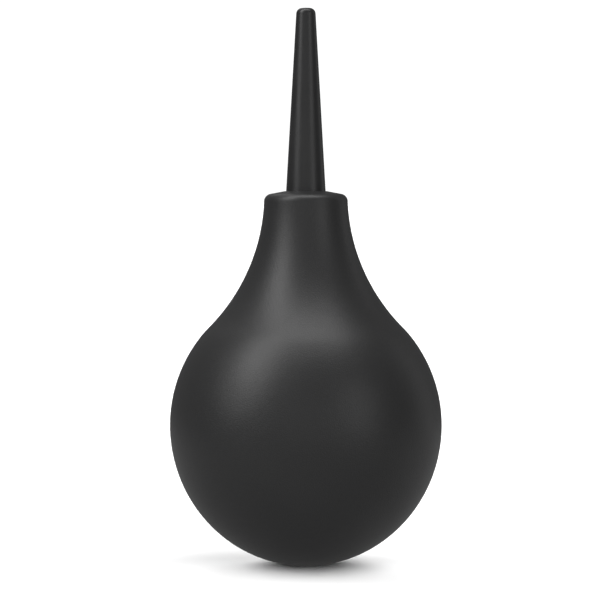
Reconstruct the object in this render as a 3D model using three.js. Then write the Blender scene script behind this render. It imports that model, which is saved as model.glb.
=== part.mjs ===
// A dust blower bulb: a hollow rubber bulb, a tapered nozzle pushed into its neck, and a
// one-way air inlet valve in its base.
// Millimetres, +Z up. The origin is where the bulb's axis meets the surface it stands on.
import * as THREE from "three";

// ---- Bulb, outside ----
const BELLY_RADIUS = 30;
const BELLY_HALF_HEIGHT = 30.95;
const FOOT_RADIUS = 5; // flat spot that the bulb stands on
const NECK_RADIUS = 9.13; // narrowest radius of the flare
const NECK_FLARE_RADIUS = 41.9; // concave sweep from the neck down to the belly
const NECK_TOP_Z = 82.35; // where the nozzle leaves the neck
const RIM_Z = 80; // where the neck's side starts to round over
const RIM_FILLET = 1.75;
const RIM_SLOPE = THREE.MathUtils.degToRad(10.5); // the neck's top falls away from the nozzle

// ---- Bulb, inside ----
const WALL = 2.4;
const CHAMBER_FLARE_RADIUS = 22; // sweep from the neck's bore out to the air chamber
const BOSS_TOP_Z = 4.6; // thick pad of rubber round the inlet valve
const BOSS_TOP_RADIUS = 7.2;
const BOSS_FOOT_RADIUS = 8.6;

// ---- Nozzle ----
const TOTAL_HEIGHT = 122.55;
const NOZZLE_BASE_RADIUS = 4.36;
const NOZZLE_TIP_RADIUS = 2.07;
const TIP_FILLET = 1.3;
const ORIFICE_RADIUS = 0.75;
const ORIFICE_LENGTH = 8;
const NOZZLE_BORE_RADIUS = 2.4; // at the shank's open end
const SHANK_END_Z = 71.2;
const SHANK_RADIUS = 3.75; // between the barbs, which reach out to the nozzle's base radius
const BARB_COUNT = 3;
const BARB_PITCH = 3.2;
const BARB_RISE = 2.6;
const PLUG_LENGTH = 1.5; // plain stretch between the barbs and the neck's top

// ---- Inlet valve ----
const GAP = 0.3; // clearance between pieces that touch
const FLANGE_Z = 0.25; // the valve's outer face sits this far above the foot
const FLANGE_RADIUS = 3.5;
const FLANGE_THICKNESS = 0.8;
const STEM_RADIUS = 2.6;
const INLET_RADIUS = 1.3;
const CUP_RADIUS = 6;
const CUP_FLOOR = 1;
const CUP_HEIGHT = 4.7;
const CUP_BORE_RADIUS = 5;
const SEAT_INNER_RADIUS = 1.7;
const SEAT_OUTER_RADIUS = 2.3;
const SEAT_HEIGHT = 0.4;
const DISC_RADIUS = 4.2;
const DISC_THICKNESS = 0.8;
const DISC_TRAVEL = 1;
const CAGE_RADIUS = 5.1;
const CAGE_THICKNESS = 0.8;
const CAGE_SLOT_COUNT = 4;
const CAGE_SLOT_INNER_RADIUS = 1.6;
const CAGE_SLOT_OUTER_RADIUS = 4.1;
const CAGE_SPOKE_ANGLE = THREE.MathUtils.degToRad(26);

// ---- Filter screen ----
const SCREEN_RADIUS = 2.1;
const SCREEN_THICKNESS = 0.2;
const SCREEN_RIM = 0.2; // solid metal left round the outermost holes
const SCREEN_HOLE_RADIUS = 0.24;
const SCREEN_HOLE_PITCH = 0.8;

// ---- Segments round a full turn ----
const BULB_SEGMENTS = 48;
const NOZZLE_SEGMENTS = 32;
const VALVE_SEGMENTS = 32;

// ---- Sizes that follow from the ones above ----
const BELLY_Z = BELLY_HALF_HEIGHT * Math.sqrt(1 - (FOOT_RADIUS / BELLY_RADIUS) ** 2);
const FLANGE_TOP_Z = FLANGE_Z + FLANGE_THICKNESS;
const CUP_Z = BOSS_TOP_Z + GAP;
const CUP_FLOOR_Z = CUP_Z + CUP_FLOOR;
const SEAT_Z = CUP_FLOOR_Z + SEAT_HEIGHT;
const DISC_Z = SEAT_Z + GAP;
const CAGE_Z = DISC_Z + DISC_THICKNESS + DISC_TRAVEL + GAP;
const SCREEN_Z = FLANGE_TOP_Z - GAP - SCREEN_THICKNESS;

const point = (radius, height) => new THREE.Vector2(radius, height);

// Points along part of a circle or ellipse in the (radius, height) half-plane.
function arc(centre, radiusAcross, radiusUp, from, to, steps) {
  const clockwise = to < from;
  return new THREE.EllipseCurve(
    centre.x, centre.y, radiusAcross, radiusUp, from, to, clockwise,
  ).getPoints(steps);
}

// A solid of revolution about +Z. The profile runs anticlockwise: up its outside first.
function turned(profile, segments) {
  const closed = [...profile, profile[0].clone()];
  return new THREE.LatheGeometry(closed, segments).rotateX(Math.PI / 2);
}

// A flat plate standing on z = 0, cut from a shape with holes.
const plate = (shape, depth, curveSegments) =>
  new THREE.ExtrudeGeometry(shape, { depth, curveSegments, bevelEnabled: false });

// The circle that flares out of a neck and runs into the belly's ellipse with no corner. Its
// side nearest the axis is at the neck's radius. The meeting angle is found by halving.
function flareBetween(neckRadius, flareRadius, belly) {
  const meetingAt = (angle) => {
    const across = Math.cos(angle);
    const up = Math.sin(angle);
    const meeting = point(belly.radius * across, BELLY_Z + belly.halfHeight * up);
    const normal = point(belly.halfHeight * across, belly.radius * up).normalize();
    return { meeting, centre: meeting.clone().addScaledVector(normal, flareRadius) };
  };
  let low = 0;
  let high = Math.PI / 2;
  for (let i = 0; i < 50; i++) {
    const middle = (low + high) / 2;
    if (meetingAt(middle).centre.x > neckRadius + flareRadius) low = middle;
    else high = middle;
  }
  const { meeting, centre } = meetingAt(low);
  const flareAngle = Math.PI + Math.atan2(centre.y - meeting.y, centre.x - meeting.x);
  return { centre, flareAngle, bellyAngle: low };
}

// The bulb's outline from the foot up over the belly, the flare and the rim to the bore.
function bulbOutside() {
  const belly = { radius: BELLY_RADIUS, halfHeight: BELLY_HALF_HEIGHT };
  const flare = flareBetween(NECK_RADIUS, NECK_FLARE_RADIUS, belly);
  const rimAngle = Math.PI + Math.asin((flare.centre.y - RIM_Z) / NECK_FLARE_RADIUS);
  const rimRadius = flare.centre.x + NECK_FLARE_RADIUS * Math.cos(rimAngle);
  const fillet = point(rimRadius - RIM_FILLET, RIM_Z);
  const boreRadius = NOZZLE_BASE_RADIUS + GAP;
  return [
    ...arc(
      point(0, BELLY_Z), belly.radius, belly.halfHeight,
      -Math.acos(FOOT_RADIUS / belly.radius), flare.bellyAngle, 17,
    ),
    ...arc(
      flare.centre, NECK_FLARE_RADIUS, NECK_FLARE_RADIUS, flare.flareAngle, rimAngle, 8,
    ).slice(1),
    ...arc(fillet, RIM_FILLET, RIM_FILLET, 0, Math.PI / 2 - RIM_SLOPE, 5).slice(1),
    point(boreRadius, NECK_TOP_Z - GAP * Math.tan(RIM_SLOPE)),
  ];
}

// The bulb's outline from the bore down round the air chamber to the pocket for the valve.
function bulbInside() {
  const chamber = { radius: BELLY_RADIUS - WALL, halfHeight: BELLY_HALF_HEIGHT - WALL };
  const flare = flareBetween(NOZZLE_BASE_RADIUS + GAP, CHAMBER_FLARE_RADIUS, chamber);
  return [
    ...arc(
      flare.centre, CHAMBER_FLARE_RADIUS, CHAMBER_FLARE_RADIUS, Math.PI, flare.flareAngle, 6,
    ),
    ...arc(
      point(0, BELLY_Z), chamber.radius, chamber.halfHeight,
      flare.bellyAngle, -Math.acos(BOSS_FOOT_RADIUS / chamber.radius), 14,
    ).slice(1),
    point(BOSS_TOP_RADIUS, BOSS_TOP_Z),
    point(STEM_RADIUS + GAP, BOSS_TOP_Z),
    point(STEM_RADIUS + GAP, FLANGE_TOP_Z + GAP),
    point(FLANGE_RADIUS + GAP, FLANGE_TOP_Z + GAP),
    point(FLANGE_RADIUS + GAP, 0),
  ];
}

const bulb = () => turned([...bulbOutside(), ...bulbInside()], BULB_SEGMENTS);

// The nozzle: a barbed shank inside the neck, then a plain taper to a rounded tip, with an
// air bore that narrows to the orifice.
function nozzle() {
  const barbs = [];
  for (let i = 0; i < BARB_COUNT; i++) {
    const z = SHANK_END_Z + i * BARB_PITCH;
    barbs.push(
      point(SHANK_RADIUS, z),
      point(NOZZLE_BASE_RADIUS, z + BARB_RISE),
      point(SHANK_RADIUS, z + BARB_RISE),
    );
  }
  const taper = Math.atan2(NOZZLE_BASE_RADIUS - NOZZLE_TIP_RADIUS, TOTAL_HEIGHT - NECK_TOP_Z);
  const tipSide = NOZZLE_TIP_RADIUS + TIP_FILLET * Math.tan(taper);
  const tipCentre = point(tipSide - TIP_FILLET / Math.cos(taper), TOTAL_HEIGHT - TIP_FILLET);
  const outside = [
    ...barbs,
    point(SHANK_RADIUS, NECK_TOP_Z - PLUG_LENGTH),
    point(NOZZLE_BASE_RADIUS, NECK_TOP_Z - PLUG_LENGTH),
    point(NOZZLE_BASE_RADIUS, NECK_TOP_Z),
    ...arc(tipCentre, TIP_FILLET, TIP_FILLET, taper, Math.PI / 2, 5),
  ];
  const inside = [
    point(ORIFICE_RADIUS, TOTAL_HEIGHT),
    point(ORIFICE_RADIUS, TOTAL_HEIGHT - ORIFICE_LENGTH),
    point(NOZZLE_BORE_RADIUS, SHANK_END_Z),
  ];
  return turned([...outside, ...inside], NOZZLE_SEGMENTS);
}

// The valve's body: a flange outside the bulb with a pocket for the screen, a hollow stem
// through the rubber, and a cup inside with a raised seat for the disc and a ledge for the
// cage.
function valveBody() {
  const outside = [
    point(SCREEN_RADIUS + GAP, FLANGE_Z),
    point(FLANGE_RADIUS, FLANGE_Z),
    point(FLANGE_RADIUS, FLANGE_TOP_Z),
    point(STEM_RADIUS, FLANGE_TOP_Z),
    point(STEM_RADIUS, CUP_Z),
    point(CUP_RADIUS, CUP_Z),
    point(CUP_RADIUS, CUP_Z + CUP_HEIGHT),
  ];
  const inside = [
    point(CAGE_RADIUS + GAP, CUP_Z + CUP_HEIGHT),
    point(CAGE_RADIUS + GAP, CAGE_Z - GAP),
    point(CUP_BORE_RADIUS, CAGE_Z - GAP),
    point(CUP_BORE_RADIUS, CUP_FLOOR_Z),
    point(SEAT_OUTER_RADIUS, CUP_FLOOR_Z),
    point(SEAT_OUTER_RADIUS, SEAT_Z),
    point(SEAT_INNER_RADIUS, SEAT_Z),
    point(INLET_RADIUS, CUP_FLOOR_Z),
    point(INLET_RADIUS, FLANGE_TOP_Z),
    point(SCREEN_RADIUS + GAP, FLANGE_TOP_Z),
  ];
  return turned([...outside, ...inside], VALVE_SEGMENTS);
}

// The soft disc that closes the seat, and lifts off it to let air in.
const valveDisc = () =>
  new THREE.CylinderGeometry(DISC_RADIUS, DISC_RADIUS, DISC_THICKNESS, VALVE_SEGMENTS)
    .rotateX(Math.PI / 2)
    .translate(0, 0, DISC_THICKNESS / 2);

// The cage over the disc: a rim and a hub joined by spokes, with a slot between spokes.
function valveCage() {
  const outline = new THREE.Shape().absarc(0, 0, CAGE_RADIUS, 0, 2 * Math.PI);
  const turn = (2 * Math.PI) / CAGE_SLOT_COUNT;
  for (let i = 0; i < CAGE_SLOT_COUNT; i++) {
    const from = i * turn + CAGE_SPOKE_ANGLE / 2;
    const to = (i + 1) * turn - CAGE_SPOKE_ANGLE / 2;
    const slot = new THREE.Path();
    slot.absarc(0, 0, CAGE_SLOT_OUTER_RADIUS, from, to);
    slot.absarc(0, 0, CAGE_SLOT_INNER_RADIUS, to, from, true);
    slot.closePath();
    outline.holes.push(slot);
  }
  return plate(outline, CAGE_THICKNESS, 8);
}

// The metal screen across the inlet: a thin disc with a square grid of round holes.
function filterScreen() {
  const outline = new THREE.Shape().absarc(0, 0, SCREEN_RADIUS, 0, 2 * Math.PI);
  const reach = Math.floor(SCREEN_RADIUS / SCREEN_HOLE_PITCH);
  for (let i = -reach; i <= reach; i++) {
    for (let j = -reach; j <= reach; j++) {
      const centre = point(i * SCREEN_HOLE_PITCH, j * SCREEN_HOLE_PITCH);
      if (centre.length() + SCREEN_HOLE_RADIUS > SCREEN_RADIUS - SCREEN_RIM) continue;
      const hole = new THREE.Path();
      hole.absarc(centre.x, centre.y, SCREEN_HOLE_RADIUS, 0, 2 * Math.PI, true);
      outline.holes.push(hole);
    }
  }
  return plate(outline, SCREEN_THICKNESS, 6);
}

const rubber = new THREE.MeshStandardMaterial({ color: 0x2b2b2c, roughness: 0.6 });
const nozzlePlastic = new THREE.MeshStandardMaterial({ color: 0x262627, roughness: 0.45 });
const valvePlastic = new THREE.MeshStandardMaterial({ color: 0x1f1f21, roughness: 0.4 });
const silicone = new THREE.MeshStandardMaterial({ color: 0x9c9a94, roughness: 0.55 });
const steel = new THREE.MeshStandardMaterial({
  color: 0xb6b8ba, roughness: 0.3, metalness: 1,
});

function piece(name, geometry, material, z = 0) {
  const mesh = new THREE.Mesh(geometry, material);
  mesh.name = name;
  mesh.position.z = z;
  return mesh;
}

const inletValve = new THREE.Group().add(
  piece("valve_body", valveBody(), valvePlastic),
  piece("valve_disc", valveDisc(), silicone, DISC_Z),
  piece("valve_cage", valveCage(), valvePlastic, CAGE_Z),
  piece("filter_screen", filterScreen(), steel, SCREEN_Z),
);

export default new THREE.Group().add(
  piece("bulb", bulb(), rubber),
  piece("nozzle", nozzle(), nozzlePlastic),
  inletValve,
);
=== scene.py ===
# A dust blower bulb's looks: fine rubber, plastic, silicone and wire pieces on the CAD frame.
# Metres, +Z up, in the frame of the CAD model, with the origin under the middle of the foot.
from math import acos, asin, atan2, ceil, cos, pi, radians, sin, sqrt, tan

import bmesh
import bpy
import numpy as np
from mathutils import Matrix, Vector


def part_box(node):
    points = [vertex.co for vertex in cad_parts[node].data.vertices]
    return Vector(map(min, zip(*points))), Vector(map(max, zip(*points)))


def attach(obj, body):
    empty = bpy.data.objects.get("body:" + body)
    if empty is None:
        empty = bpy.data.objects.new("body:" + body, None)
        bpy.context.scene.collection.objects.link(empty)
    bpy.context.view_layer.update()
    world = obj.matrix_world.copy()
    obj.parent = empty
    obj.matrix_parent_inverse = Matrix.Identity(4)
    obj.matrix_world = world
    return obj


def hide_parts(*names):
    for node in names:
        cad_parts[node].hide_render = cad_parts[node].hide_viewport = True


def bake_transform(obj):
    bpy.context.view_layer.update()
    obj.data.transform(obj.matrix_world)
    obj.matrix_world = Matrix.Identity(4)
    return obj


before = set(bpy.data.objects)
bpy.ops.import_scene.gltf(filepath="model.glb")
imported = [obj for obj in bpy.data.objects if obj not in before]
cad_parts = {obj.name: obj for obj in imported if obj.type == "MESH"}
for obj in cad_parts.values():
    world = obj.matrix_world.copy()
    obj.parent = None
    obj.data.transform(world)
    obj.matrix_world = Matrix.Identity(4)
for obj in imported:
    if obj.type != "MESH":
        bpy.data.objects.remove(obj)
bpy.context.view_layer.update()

MM = 0.001

# ---- The CAD model's boxes ----
_, BULB_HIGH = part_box("bulb")
NOZZLE_LOW, NOZZLE_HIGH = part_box("nozzle")
VALVE_LOW, VALVE_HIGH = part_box("valve_body")
DISC_LOW, DISC_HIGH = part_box("valve_disc")
CAGE_LOW, CAGE_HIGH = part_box("valve_cage")
SCREEN_LOW, SCREEN_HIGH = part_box("filter_screen")

# ---- Bulb ----
BELLY_RADIUS = BULB_HIGH.x
BELLY_HALF_HEIGHT = 30.95 * MM
FOOT_RADIUS = 5 * MM
BELLY_Z = BELLY_HALF_HEIGHT * sqrt(1 - (FOOT_RADIUS / BELLY_RADIUS) ** 2)
FOOT_FILLET = 1.2 * MM
NECK_RADIUS = 9.13 * MM
NECK_FLARE_RADIUS = 41.9 * MM
SWELL_HEIGHT = 0.02 * MM  # the flare runs on a little way down the belly before it turns
SWELL_LENGTH = 5 * MM
RIM_Z = 80 * MM
RIM_FILLET = 1.75 * MM
RIM_SLOPE = radians(10.5)
WALL = 2.4 * MM
CHAMBER_FLARE_RADIUS = 22 * MM
BORE_RADIUS = NOZZLE_HIGH.x + 0.3 * MM
LIP_RADIUS = NOZZLE_HIGH.x + 0.03 * MM  # the rubber closes round the nozzle at the top
LIP_DEPTH = 1.2 * MM
BOSS_TOP_Z = 4.6 * MM
BOSS_TOP_RADIUS = 7.2 * MM
BOSS_FOOT_RADIUS = 8.6 * MM
FLASH_WIDTH = 0.16 * MM  # half the width of the ridge that the mould's joint leaves
FLASH_HEIGHT = 0.07 * MM
BULB_COLUMNS = 144

# ---- Nozzle ----
NOZZLE_TIP_RADIUS = 2.07 * MM
TIP_FILLET = 1.3 * MM
ORIFICE_RADIUS = 0.75 * MM
ORIFICE_LENGTH = 8 * MM
NOZZLE_BORE_RADIUS = 2.4 * MM
SHANK_RADIUS = 3.75 * MM
BARB_COUNT = 3
BARB_PITCH = 3.2 * MM
BARB_RISE = 2.6 * MM
PLUG_LENGTH = 1.5 * MM
ROUND_COLUMNS = 96  # round the nozzle and the valve's pieces

# ---- Inlet valve ----
FLANGE_RADIUS = 3.5 * MM
FLANGE_TOP_Z = VALVE_LOW.z + 0.8 * MM
VALVE_GAP = 0.3 * MM
STEM_RADIUS = 2.6 * MM
INLET_RADIUS = 1.3 * MM
CUP_Z = BOSS_TOP_Z + VALVE_GAP
CUP_FLOOR_Z = CUP_Z + 1 * MM
CUP_BORE_RADIUS = 5 * MM
SEAT_INNER_RADIUS = 1.7 * MM
SEAT_OUTER_RADIUS = 2.3 * MM
SEAT_Z = DISC_LOW.z - VALVE_GAP
CAGE_SLOT_COUNT = 4
CAGE_SLOT_INNER_RADIUS = 1.6 * MM
CAGE_SLOT_OUTER_RADIUS = 4.1 * MM
CAGE_SPOKE_ANGLE = radians(26)
CAGE_BEVEL = 0.12 * MM
WIRE_RADIUS = 0.055 * MM
WIRE_SIDES = 6
WIRE_STEPS = 6  # along each wire, from one crossing to the next
WIRE_PITCH = 0.3 * MM
SCREEN_RIM_WIDTH = 0.3 * MM
SCREEN_RIM_FILLET = 0.09 * MM

ON_AXIS = 1e-9  # a radius below this is the axis itself
SAME_PLACE = 1e-7


# ---- Outlines in the (radius, height) half-plane ----
def arc(centre, across, up, start, end, steps):
    """Points along part of a circle or ellipse."""
    angles = [start + (end - start) * i / steps for i in range(steps + 1)]
    return [(centre[0] + across * cos(a), centre[1] + up * sin(a)) for a in angles]


def rounded(corners, steps=4):
    """A closed outline with its corners rounded. A corner is (radius, height, fillet)."""
    outline = []
    for i, (x, z, fillet) in enumerate(corners):
        here = Vector((x, z))
        if not fillet:
            outline.append((x, z))
            continue
        before = (Vector(corners[i - 1][:2]) - here).normalized()
        after = (Vector(corners[(i + 1) % len(corners)][:2]) - here).normalized()
        half = before.angle(after) / 2
        centre = here + (before + after).normalized() * (fillet / sin(half))
        first = here + before * (fillet / tan(half)) - centre
        last = here + after * (fillet / tan(half)) - centre
        start = atan2(first.y, first.x)
        sweep = (atan2(last.y, last.x) - start + pi) % (2 * pi) - pi
        outline += arc(centre, fillet, fillet, start, start + sweep, steps)
    return outline


def plain(points):
    return [(x, z, 0) for x, z in points]


def flare_between(neck_radius, flare_radius, across, up):
    """The circle that flares out of a neck and meets the belly's ellipse with no corner:
    its centre, the angle where it meets, and the ellipse's angle there. Found by halving."""
    low, high = 0, pi / 2
    for _ in range(50):
        angle = (low + high) / 2
        normal = Vector((up * cos(angle), across * sin(angle))).normalized()
        meeting = Vector((across * cos(angle), BELLY_Z + up * sin(angle)))
        centre = meeting + normal * flare_radius
        if centre.x > neck_radius + flare_radius:
            low = angle
        else:
            high = angle
    back = meeting - centre
    return centre, atan2(back.y, back.x) % (2 * pi), angle


# ---- Meshes ----
def add_object(name, data):
    """A new object in the scene, made of this mesh, curve, light or camera."""
    made = bpy.data.objects.new(name, data)
    bpy.context.scene.collection.objects.link(made)
    return made


def weighted_normals(mesh):
    """Smooth shading that leaves broad faces flat: each normal leans to its larger faces."""
    total = np.zeros((len(mesh.vertices), 3))
    for polygon in mesh.polygons:
        total[list(polygon.vertices)] += np.array(polygon.normal) * polygon.area
    lengths = np.linalg.norm(total, axis=1, keepdims=True)
    mesh.shade_smooth()
    mesh.normals_split_custom_set_from_vertices(total / np.maximum(lengths, 1e-20))


def new_object(name, vertices, faces):
    mesh = bpy.data.meshes.new(name)
    mesh.from_pydata(vertices, [], faces)
    mesh.validate()
    weighted_normals(mesh)
    return add_object(name, mesh)


def turned(name, outline, angles, relief=None, relief_count=0):
    """A solid of revolution about +Z. The closed outline runs anticlockwise, and where it
    touches the axis the ring is a single point. relief(angle, radius) is how far the first
    relief_count points of the outline stand out."""
    vertices, rings = [], []
    for i, point in enumerate(outline):
        on_axis = point[0] < ON_AXIS
        ring = []
        for angle in angles[:1] if on_axis else angles:
            radius = point[0] + (relief(angle, point[0]) if i < relief_count else 0)
            ring.append(len(vertices))
            vertices.append((radius * cos(angle), radius * sin(angle), point[1]))
        rings.append(ring * len(angles) if on_axis else ring)
    faces = []
    count = len(angles)
    for low, high in zip(rings, rings[1:] + rings[:1]):
        for j in range(count):
            k = (j + 1) % count
            corners = [low[j], low[k], high[k], high[j]]
            face = [v for i, v in enumerate(corners) if v != corners[i - 1]]
            if len(face) > 2:
                faces.append(face)
    return new_object(name, vertices, faces)


def evenly(count):
    return [2 * pi * i / count for i in range(count)]


# ---- Pieces ----
def flash_angles():
    """Columns round the bulb: even, and close together at the two joints of the mould."""
    angles = set(evenly(BULB_COLUMNS))
    for joint in (0, pi):
        for half_widths in range(-4, 5):
            angles.add((joint + half_widths * FLASH_WIDTH / BELLY_RADIUS / 2) % (2 * pi))
    return sorted(angles)


def flash(angle, radius):
    """The ridge where the mould's halves met: two lines up the bulb's outside."""
    aside = min(abs(radius * sin(angle)), FLASH_WIDTH)
    return FLASH_HEIGHT * (0.5 + 0.5 * cos(pi * aside / FLASH_WIDTH))


def swollen_belly(start, end, steps):
    """The belly's curve from its foot up to the flare, with the slight swell at its top.
    (along * (1 - along)) ** 2 is a smooth hump that is 1/16 high in the middle."""
    outline = []
    for x, z in arc((0, 0), BELLY_RADIUS, BELLY_HALF_HEIGHT, start, end, steps):
        below = BELLY_RADIUS * (end - atan2(z, x))
        along = min(below / SWELL_LENGTH, 1)
        grown = 1 + 16 * SWELL_HEIGHT * (along * (1 - along)) ** 2 / BELLY_RADIUS
        outline.append((x * grown, BELLY_Z + z * grown))
    return outline


def bulb_outside():
    centre, flare_angle, belly_angle = flare_between(
        NECK_RADIUS, NECK_FLARE_RADIUS, BELLY_RADIUS, BELLY_HALF_HEIGHT
    )
    rim_angle = pi + asin((centre.y - RIM_Z) / NECK_FLARE_RADIUS)
    rim = (centre.x + NECK_FLARE_RADIUS * cos(rim_angle) - RIM_FILLET, RIM_Z)
    foot_angle = -acos(FOOT_RADIUS / BELLY_RADIUS)
    lip_z = BULB_HIGH.z + (BORE_RADIUS - LIP_RADIUS) * tan(RIM_SLOPE)
    return (
        [(FOOT_RADIUS, 0, FOOT_FILLET)]
        + plain(swollen_belly(foot_angle, belly_angle, 90)[2:])
        + plain(
            arc(centre, NECK_FLARE_RADIUS, NECK_FLARE_RADIUS, flare_angle, rim_angle, 36)[1:]
        )
        + plain(arc(rim, RIM_FILLET, RIM_FILLET, 0, pi / 2 - RIM_SLOPE, 10)[1:])
        + [(LIP_RADIUS, lip_z, 0.12 * MM)]
    )


def bulb_inside():
    across, up = BELLY_RADIUS - WALL, BELLY_HALF_HEIGHT - WALL
    centre, flare_angle, belly_angle = flare_between(
        BORE_RADIUS, CHAMBER_FLARE_RADIUS, across, up
    )
    boss_angle = -acos(BOSS_FOOT_RADIUS / across)
    hole_radius = STEM_RADIUS + 0.05 * MM
    pocket_radius = FLANGE_RADIUS + 0.12 * MM
    pocket_z = FLANGE_TOP_Z + 0.05 * MM
    return (
        [
            (LIP_RADIUS, BULB_HIGH.z - LIP_DEPTH, 0.1 * MM),
            (BORE_RADIUS, BULB_HIGH.z - LIP_DEPTH - 0.4 * MM, 0.1 * MM),
        ]
        + plain(arc(centre, CHAMBER_FLARE_RADIUS, CHAMBER_FLARE_RADIUS, pi, flare_angle, 16))
        + plain(arc((0, BELLY_Z), across, up, belly_angle, boss_angle, 36)[1:])
        + [
            (BOSS_TOP_RADIUS, BOSS_TOP_Z, 0.4 * MM),
            (hole_radius, BOSS_TOP_Z, 0.2 * MM),
            (hole_radius, pocket_z, 0.1 * MM),
            (pocket_radius, pocket_z, 0.1 * MM),
            (pocket_radius, 0, 0.25 * MM),
        ]
    )


def make_bulb():
    outline = rounded(bulb_outside() + bulb_inside())
    outside_count = len(rounded(bulb_outside()))
    piece = turned("bulb_rubber", outline, flash_angles(), flash, outside_count)
    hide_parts("bulb")
    return piece


def make_nozzle():
    neck_z = BULB_HIGH.z
    base_radius = NOZZLE_HIGH.x
    barbs = []
    for i in range(BARB_COUNT):
        z = NOZZLE_LOW.z + i * BARB_PITCH
        barbs += [
            (SHANK_RADIUS, z, 0.15 * MM),
            (base_radius, z + BARB_RISE, 0.12 * MM),
            (SHANK_RADIUS, z + BARB_RISE, 0.12 * MM),
        ]
    outline = barbs + [
        (SHANK_RADIUS, neck_z - PLUG_LENGTH, 0.12 * MM),
        (base_radius, neck_z - PLUG_LENGTH, 0.12 * MM),
        (base_radius, neck_z, 0),
        (NOZZLE_TIP_RADIUS, NOZZLE_HIGH.z, TIP_FILLET),
        (ORIFICE_RADIUS, NOZZLE_HIGH.z, 0.08 * MM),
        (ORIFICE_RADIUS, NOZZLE_HIGH.z - ORIFICE_LENGTH, 0),
        (NOZZLE_BORE_RADIUS, NOZZLE_LOW.z, 0.2 * MM),
    ]
    piece = turned("nozzle_taper", rounded(outline, 8), evenly(ROUND_COLUMNS))
    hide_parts("nozzle")
    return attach(piece, "nozzle")


def make_valve_body():
    pocket_radius = SCREEN_HIGH.x + 0.05 * MM
    ledge_radius = CAGE_HIGH.x + 0.1 * MM
    ledge_z = CAGE_LOW.z - 0.05 * MM
    edge = 0.12 * MM
    outline = [
        (pocket_radius, VALVE_LOW.z, edge),
        (FLANGE_RADIUS, VALVE_LOW.z, 0.25 * MM),
        (FLANGE_RADIUS, FLANGE_TOP_Z, edge),
        (STEM_RADIUS, FLANGE_TOP_Z, edge),
        (STEM_RADIUS, CUP_Z, edge),
        (VALVE_HIGH.x, CUP_Z, 0.3 * MM),
        (VALVE_HIGH.x, VALVE_HIGH.z, 0.2 * MM),
        (ledge_radius, VALVE_HIGH.z, edge),
        (ledge_radius, ledge_z, 0.05 * MM),
        (CUP_BORE_RADIUS, ledge_z, 0.05 * MM),
        (CUP_BORE_RADIUS, CUP_FLOOR_Z, 0.2 * MM),
        (SEAT_OUTER_RADIUS, CUP_FLOOR_Z, 0.08 * MM),
        (SEAT_OUTER_RADIUS, SEAT_Z, edge),
        (SEAT_INNER_RADIUS, SEAT_Z, edge),
        (INLET_RADIUS, CUP_FLOOR_Z, edge),
        (INLET_RADIUS, FLANGE_TOP_Z, edge),
        (pocket_radius, FLANGE_TOP_Z, 0.05 * MM),
    ]
    piece = turned("valve_housing", rounded(outline), evenly(ROUND_COLUMNS))
    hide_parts("valve_body")
    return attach(piece, "inlet_valve")


def make_valve_disc():
    outline = [
        (0, DISC_LOW.z, 0),
        (DISC_HIGH.x, DISC_LOW.z, 0.3 * MM),
        (DISC_HIGH.x, DISC_HIGH.z, 0.3 * MM),
        (0, DISC_HIGH.z, 0),
    ]
    piece = turned("valve_flap", rounded(outline, 6), evenly(ROUND_COLUMNS))
    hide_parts("valve_disc")
    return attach(piece, "valve_disc")


def cage_loops():
    """The round outline of the cage, then each of its slots."""
    loops = [arc((0, 0), CAGE_HIGH.x, CAGE_HIGH.x, 0, 2 * pi, ROUND_COLUMNS)[:-1]]
    turn = 2 * pi / CAGE_SLOT_COUNT
    for i in range(CAGE_SLOT_COUNT):
        start = i * turn + CAGE_SPOKE_ANGLE / 2
        end = (i + 1) * turn - CAGE_SPOKE_ANGLE / 2
        outer = arc((0, 0), CAGE_SLOT_OUTER_RADIUS, CAGE_SLOT_OUTER_RADIUS, start, end, 20)
        inner = arc((0, 0), CAGE_SLOT_INNER_RADIUS, CAGE_SLOT_INNER_RADIUS, end, start, 10)
        loops.append(outer + inner)
    return loops


def cage_outline():
    """The slotted plate as a curve: filled as a flat face, thickened, and bevelled all
    round."""
    curve = bpy.data.curves.new("cage_outline", "CURVE")
    curve.dimensions = "2D"
    curve.fill_mode = "BOTH"
    curve.bevel_depth = CAGE_BEVEL
    curve.bevel_resolution = 2
    curve.offset = -CAGE_BEVEL
    curve.extrude = (CAGE_HIGH.z - CAGE_LOW.z) / 2 - CAGE_BEVEL
    for loop in cage_loops():
        spline = curve.splines.new("POLY")
        spline.points.add(len(loop) - 1)
        for spline_point, (x, y) in zip(spline.points, loop):
            spline_point.co = (x, y, 0, 1)
        spline.use_cyclic_u = True
    return add_object("cage_outline", curve)


def make_valve_cage():
    shape = cage_outline()
    solid = bmesh.new()
    graph = bpy.context.evaluated_depsgraph_get()
    solid.from_mesh(shape.evaluated_get(graph).to_mesh())
    bmesh.ops.remove_doubles(solid, verts=solid.verts, dist=SAME_PLACE)
    bmesh.ops.recalc_face_normals(solid, faces=solid.faces)
    bmesh.ops.translate(solid, verts=solid.verts, vec=(0, 0, (CAGE_LOW.z + CAGE_HIGH.z) / 2))
    mesh = bpy.data.meshes.new("valve_grid")
    solid.to_mesh(mesh)
    solid.free()
    bpy.data.objects.remove(shape)
    weighted_normals(mesh)
    piece = add_object("valve_grid", mesh)
    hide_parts("valve_cage")
    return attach(piece, "inlet_valve")


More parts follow.
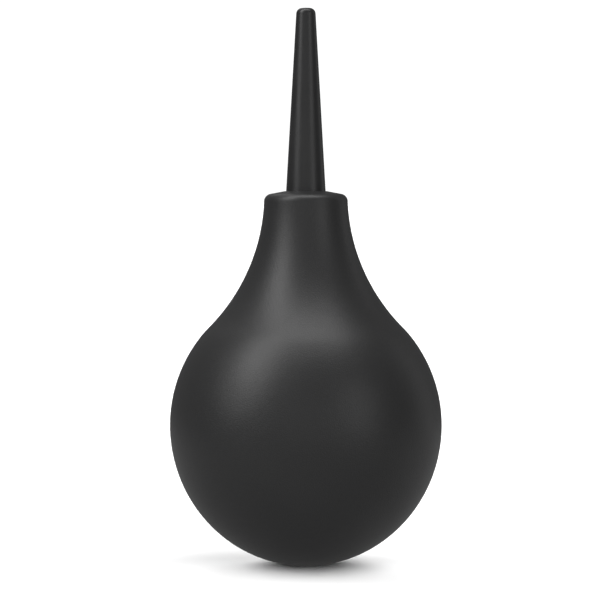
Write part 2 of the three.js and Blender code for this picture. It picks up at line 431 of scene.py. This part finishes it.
def woven_wire(offset, along_x, phase, half_length):
    """One wire of the screen: a hexagonal tube that passes over and under the others."""
    steps = ceil(2 * half_length / WIRE_PITCH * WIRE_STEPS)
    middle_z = (SCREEN_LOW.z + SCREEN_HIGH.z) / 2
    vertices, faces = [], []
    for i in range(steps + 1):
        along = half_length * (2 * i / steps - 1)
        height = middle_z + WIRE_RADIUS * phase * cos(pi * along / WIRE_PITCH)
        for turn in evenly(WIRE_SIDES):
            side = WIRE_RADIUS * cos(turn)
            up = WIRE_RADIUS * sin(turn)
            flat = (along, offset + side) if along_x else (offset + side, along)
            vertices.append((*flat, height + up))
    for i in range(steps):
        low, high = i * WIRE_SIDES, (i + 1) * WIRE_SIDES
        for j in range(WIRE_SIDES):
            k = (j + 1) % WIRE_SIDES
            corners = [low + j, high + j, high + k, low + k]
            faces.append(corners if along_x else corners[::-1])
    last = steps * WIRE_SIDES
    ends = [list(range(WIRE_SIDES)), [last + j for j in reversed(range(WIRE_SIDES))]]
    faces += ends if along_x else [end[::-1] for end in ends]
    return vertices, faces


def make_screen():
    """A plain weave of wire, held in a rolled rim."""
    inner_radius = SCREEN_HIGH.x - SCREEN_RIM_WIDTH / 2
    reach = int(inner_radius / WIRE_PITCH)
    vertices, faces = [], []
    for along_x in (True, False):
        for n in range(-reach, reach):
            offset = (n + 0.5) * WIRE_PITCH
            phase = (1 if n % 2 else -1) * (1 if along_x else -1)
            half_length = sqrt(inner_radius**2 - offset**2)
            wire, wire_faces = woven_wire(offset, along_x, phase, half_length)
            faces += [[v + len(vertices) for v in face] for face in wire_faces]
            vertices += wire
    wires = new_object("screen_wires", vertices, faces)
    rim_outline = [
        (SCREEN_HIGH.x - SCREEN_RIM_WIDTH, SCREEN_LOW.z, SCREEN_RIM_FILLET),
        (SCREEN_HIGH.x, SCREEN_LOW.z, SCREEN_RIM_FILLET),
        (SCREEN_HIGH.x, SCREEN_HIGH.z, SCREEN_RIM_FILLET),
        (SCREEN_HIGH.x - SCREEN_RIM_WIDTH, SCREEN_HIGH.z, SCREEN_RIM_FILLET),
    ]
    rim = turned("screen_rim", rounded(rim_outline), evenly(ROUND_COLUMNS))
    for piece in (wires, rim):
        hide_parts("filter_screen")
        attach(piece, "inlet_valve")
    return wires, rim


# ---- Materials ----
NOISE_LOW = 0.3  # most noise values lie between these two
NOISE_HIGH = 0.7


def new_material(name, colour, roughness, **settings):
    """A Principled material with these settings on its own sockets, and its shader."""
    material = bpy.data.materials.new(name)
    material.use_nodes = True
    shader = material.node_tree.nodes["Principled BSDF"]
    shader.inputs["Base Color"].default_value = (*colour, 1)
    shader.inputs["Roughness"].default_value = roughness
    for socket, value in settings.items():
        shader.inputs[socket.replace("_", " ")].default_value = value
    return material, shader


def noise(material, size, detail=3, stretch=(1, 1, 1)):
    """Noise with features of about this size in metres, in the model's own space."""
    nodes, links = material.node_tree.nodes, material.node_tree.links
    place = nodes.new("ShaderNodeTexCoord")
    mapping = nodes.new("ShaderNodeMapping")
    mapping.inputs["Scale"].default_value = stretch
    texture = nodes.new("ShaderNodeTexNoise")
    texture.inputs["Scale"].default_value = 1 / size
    texture.inputs["Detail"].default_value = detail
    links.new(place.outputs["Object"], mapping.inputs["Vector"])
    links.new(mapping.outputs["Vector"], texture.inputs["Vector"])
    return texture.outputs["Fac"]


def blended(material, first, second, share):
    """Two values mixed: this share of the second, and the rest of the first."""
    node = material.node_tree.nodes.new("ShaderNodeMix")
    node.inputs["Factor"].default_value = share
    material.node_tree.links.new(first, node.inputs["A"])
    material.node_tree.links.new(second, node.inputs["B"])
    return node.outputs["Result"]


def vary_colour(material, shader, value, dark, light):
    """The base colour goes from dark to light as the noise value rises."""
    ramp = material.node_tree.nodes.new("ShaderNodeValToRGB")
    ramp.color_ramp.elements[0].position = NOISE_LOW
    ramp.color_ramp.elements[1].position = NOISE_HIGH
    ramp.color_ramp.elements[0].color = (*dark, 1)
    ramp.color_ramp.elements[1].color = (*light, 1)
    material.node_tree.links.new(value, ramp.inputs["Fac"])
    material.node_tree.links.new(ramp.outputs["Color"], shader.inputs["Base Color"])


def vary_roughness(material, shader, value, low, high):
    """The roughness goes from low to high as the noise value rises."""
    node = material.node_tree.nodes.new("ShaderNodeMapRange")
    node.inputs["From Min"].default_value = NOISE_LOW
    node.inputs["From Max"].default_value = NOISE_HIGH
    node.inputs["To Min"].default_value = low
    node.inputs["To Max"].default_value = high
    material.node_tree.links.new(value, node.inputs["Value"])
    material.node_tree.links.new(node.outputs["Result"], shader.inputs["Roughness"])


def add_bump(material, shader, layers):
    """Bump in layers, each a height value and how far it stands, in metres."""
    normal = None
    for value, distance in layers:
        bump = material.node_tree.nodes.new("ShaderNodeBump")
        bump.inputs["Strength"].default_value = 1
        bump.inputs["Distance"].default_value = distance
        material.node_tree.links.new(value, bump.inputs["Height"])
        if normal:
            material.node_tree.links.new(normal, bump.inputs["Normal"])
        normal = bump.outputs["Normal"]
    material.node_tree.links.new(normal, shader.inputs["Normal"])


def rubber():
    """Black moulded rubber: a fine eggshell grain, with cloudy patches where it is duller."""
    material, shader = new_material("moulded_rubber", (0.024, 0.024, 0.0245), 0.44)
    clouds = noise(material, 14 * MM, 4)
    grain = noise(material, 0.28 * MM, 2)
    mixed = blended(material, clouds, grain, 0.6)
    vary_colour(material, shader, mixed, (0.0225, 0.0225, 0.023), (0.0255, 0.0255, 0.026))
    vary_roughness(material, shader, mixed, 0.39, 0.45)
    add_bump(
        material,
        shader,
        [
            (grain, 0.042 * MM),
            (noise(material, 3.5 * MM, 2), 0.02 * MM),
        ],
    )
    return material


def nozzle_plastic():
    """Black satin plastic with a fine spark-eroded grain, drawn out along the taper."""
    material, shader = new_material("satin_plastic", (0.02, 0.02, 0.0205), 0.37)
    clouds = noise(material, 6 * MM, 3)
    vary_colour(material, shader, clouds, (0.019, 0.019, 0.0195), (0.022, 0.022, 0.0225))
    vary_roughness(material, shader, clouds, 0.34, 0.4)
    add_bump(
        material,
        shader,
        [
            (noise(material, 0.2 * MM, 2), 0.003 * MM),
            (noise(material, 0.5 * MM, 2, (1, 1, 0.06)), 0.004 * MM),
        ],
    )
    return material


def valve_plastic():
    """Plain black plastic with a fine grain."""
    material, shader = new_material("valve_plastic", (0.012, 0.012, 0.013), 0.38)
    grain = noise(material, 0.15 * MM, 3)
    vary_colour(material, shader, noise(material, 2 * MM), (0.011,) * 3, (0.015,) * 3)
    vary_roughness(material, shader, grain, 0.34, 0.44)
    add_bump(material, shader, [(grain, 0.003 * MM)])
    return material


def silicone():
    """Soft pale silicone: a little light passes into it."""
    material, shader = new_material(
        "soft_silicone",
        (0.33, 0.32, 0.29),
        0.5,
        Subsurface_Weight=0.3,
        Subsurface_Scale=0.6 * MM,
    )
    clouds = noise(material, 1.5 * MM)
    vary_colour(material, shader, clouds, (0.3, 0.29, 0.265), (0.36, 0.35, 0.315))
    vary_roughness(material, shader, clouds, 0.46, 0.56)
    add_bump(material, shader, [(noise(material, 0.2 * MM), 0.003 * MM)])
    return material


def steel():
    """Stainless wire with fine drawing marks."""
    material, shader = new_material("steel_wire", (0.47, 0.48, 0.49), 0.3, Metallic=1)
    marks = noise(material, 0.06 * MM, 3)
    vary_colour(material, shader, marks, (0.4, 0.41, 0.42), (0.55, 0.56, 0.57))
    vary_roughness(material, shader, marks, 0.22, 0.4)
    add_bump(material, shader, [(marks, 0.001 * MM)])
    return material


def dress(material, *pieces):
    for piece in pieces:
        piece.data.materials.clear()
        piece.data.materials.append(material)


# ---- Stage ----
CAMERA_X = -2.4 * MM
CAMERA_DISTANCE = 0.6
CAMERA_AIM_Z = 59.4 * MM
CAMERA_LENS = 166
LIGHT_AIM_Z = 45 * MM
# Name, azimuth, elevation, spread (degrees), strength. These fall on the floor alone.
FLOOR_LIGHTS = [
    ("floor_front", 30, 40, 80, 2.7),
    ("floor_back", 180, 10, 40, 5.7),
    ("floor_left", -120, 25, 40, 3.3),
    ("floor_right", 120, 40, 40, 1.6),
]
# Name, azimuth, elevation, distance, width, height (metres), watts. On the blower alone.
SOFTBOXES = [
    ("left_softbox", -58, 32, 0.6, 0.3, 0.5, 1.1),
    ("left_upper", -65, 50, 0.6, 0.2, 0.3, 0.65),
    ("top_softbox", 0, 84.5, 0.6, 0.6, 0.28, 1.9),
    ("front_fill", 0, 5, 0.9, 0.9, 0.6, 0.6),
    ("front_low", 0, -22, 0.9, 0.9, 0.4, 1.35),
    ("right_fill", 45, 14, 0.6, 0.25, 0.4, 0.42),
    ("right_rim", 120, 10, 0.6, 0.2, 0.6, 0.15),
    ("back_softbox", -160, 45, 0.7, 0.3, 0.3, 0.25),
]


def make_camera():
    """Level with the neck's top, with the blower a little right of the middle."""
    data = bpy.data.cameras.new("camera")
    data.lens = CAMERA_LENS
    camera = add_object("camera", data)
    camera.location = (CAMERA_X, -CAMERA_DISTANCE, BULB_HIGH.z)
    aim = Vector((CAMERA_X, 0, CAMERA_AIM_Z))
    camera.rotation_euler = (aim - camera.location).to_track_quat("-Z", "Y").to_euler()
    bpy.context.scene.camera = camera


def make_floor(name, size, depth, grey, glow, seen):
    """A plain square floor that either only the camera sees or only the other rays meet."""
    bpy.ops.mesh.primitive_plane_add(size=size, location=(0, 0, -depth))
    floor = bpy.context.object
    floor.name = name
    # The glow is painted light: the bounce floor emits it in place of light bounced off a lit
    # floor.
    material, shader = new_material(
        name, (grey, grey, grey), 1, Specular_IOR_Level=0, Emission_Strength=glow
    )
    shader.inputs["Emission Color"].default_value = (1, 1, 1, 1)
    dress(material, floor)
    floor.visible_camera = seen
    floor.visible_diffuse = not seen
    floor.visible_glossy = not seen
    floor.visible_transmission = not seen
    floor.visible_shadow = False
    return floor


def only_on(light, *receivers):
    """The light falls on these objects alone."""
    group = bpy.data.collections.new(light.name + "_receivers")
    for receiver in receivers:
        group.objects.link(receiver)
    light.light_linking.receiver_collection = group


def toward(azimuth, elevation):
    """The direction of a light. Azimuth 0 is toward the camera, and 90 is to the right."""
    level = cos(radians(elevation))
    return Vector(
        (
            level * sin(radians(azimuth)),
            -level * cos(radians(azimuth)),
            sin(radians(elevation)),
        )
    )


def softbox(name, azimuth, elevation, distance, width, height, power):
    """A rectangular light turned to the belly."""
    data = bpy.data.lights.new(name, "AREA")
    data.shape = "RECTANGLE"
    data.size, data.size_y, data.energy = width, height, power
    light = add_object(name, data)
    away = toward(azimuth, elevation)
    light.location = away * distance + Vector((0, 0, LIGHT_AIM_Z))
    light.rotation_euler = away.to_track_quat("Z", "Y").to_euler()
    return light


def sun(name, azimuth, elevation, spread, strength):
    """A broad, even light from far away, named and turned the same way as a softbox."""
    data = bpy.data.lights.new(name, "SUN")
    data.energy = strength
    data.angle = radians(spread)
    light = add_object(name, data)
    light.rotation_euler = toward(azimuth, elevation).to_track_quat("Z", "Y").to_euler()
    return light


def make_world(seen, unseen):
    """White to the camera, and dim to every other ray."""
    world = bpy.data.worlds.new("studio")
    bpy.context.scene.world = world
    world.use_nodes = True
    nodes, links = world.node_tree.nodes, world.node_tree.links
    path = nodes.new("ShaderNodeLightPath")
    mix = nodes.new("ShaderNodeMix")
    mix.inputs["A"].default_value = unseen
    mix.inputs["B"].default_value = seen
    links.new(path.outputs["Is Camera Ray"], mix.inputs["Factor"])
    links.new(mix.outputs["Result"], nodes["Background"].inputs["Strength"])
    nodes["Background"].inputs["Color"].default_value = (1, 1, 1, 1)


make_camera()
bulb = make_bulb()
nozzle = make_nozzle()
valve_body = make_valve_body()
valve_disc = make_valve_disc()
valve_cage = make_valve_cage()
screen = make_screen()

dress(rubber(), bulb)
dress(nozzle_plastic(), nozzle)
dress(valve_plastic(), valve_body, valve_cage)
dress(silicone(), valve_disc)
dress(steel(), *screen)

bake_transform(bulb)

# The camera sees a white floor. The blower is lit from below by a small grey one that also
# glows:
# painted bounce light in place of light off the floor, as black rubber on white paper would
# otherwise be washed out from below.
floors = (
    make_floor("floor_seen", size=40, depth=0.02 * MM, grey=0.9, glow=0, seen=True),
    make_floor("glowing_bounce_floor", size=0.6, depth=0.1 * MM, grey=0.12, glow=0.15, seen=False),
)
blower = (bulb, nozzle, valve_body, valve_disc, valve_cage, *screen)
make_world(seen=1.1, unseen=0.12)
for settings in FLOOR_LIGHTS:
    only_on(sun(*settings), *floors)
for settings in SOFTBOXES:
    only_on(softbox(*settings), *blower)

bpy.context.scene.view_settings.view_transform = "Standard"
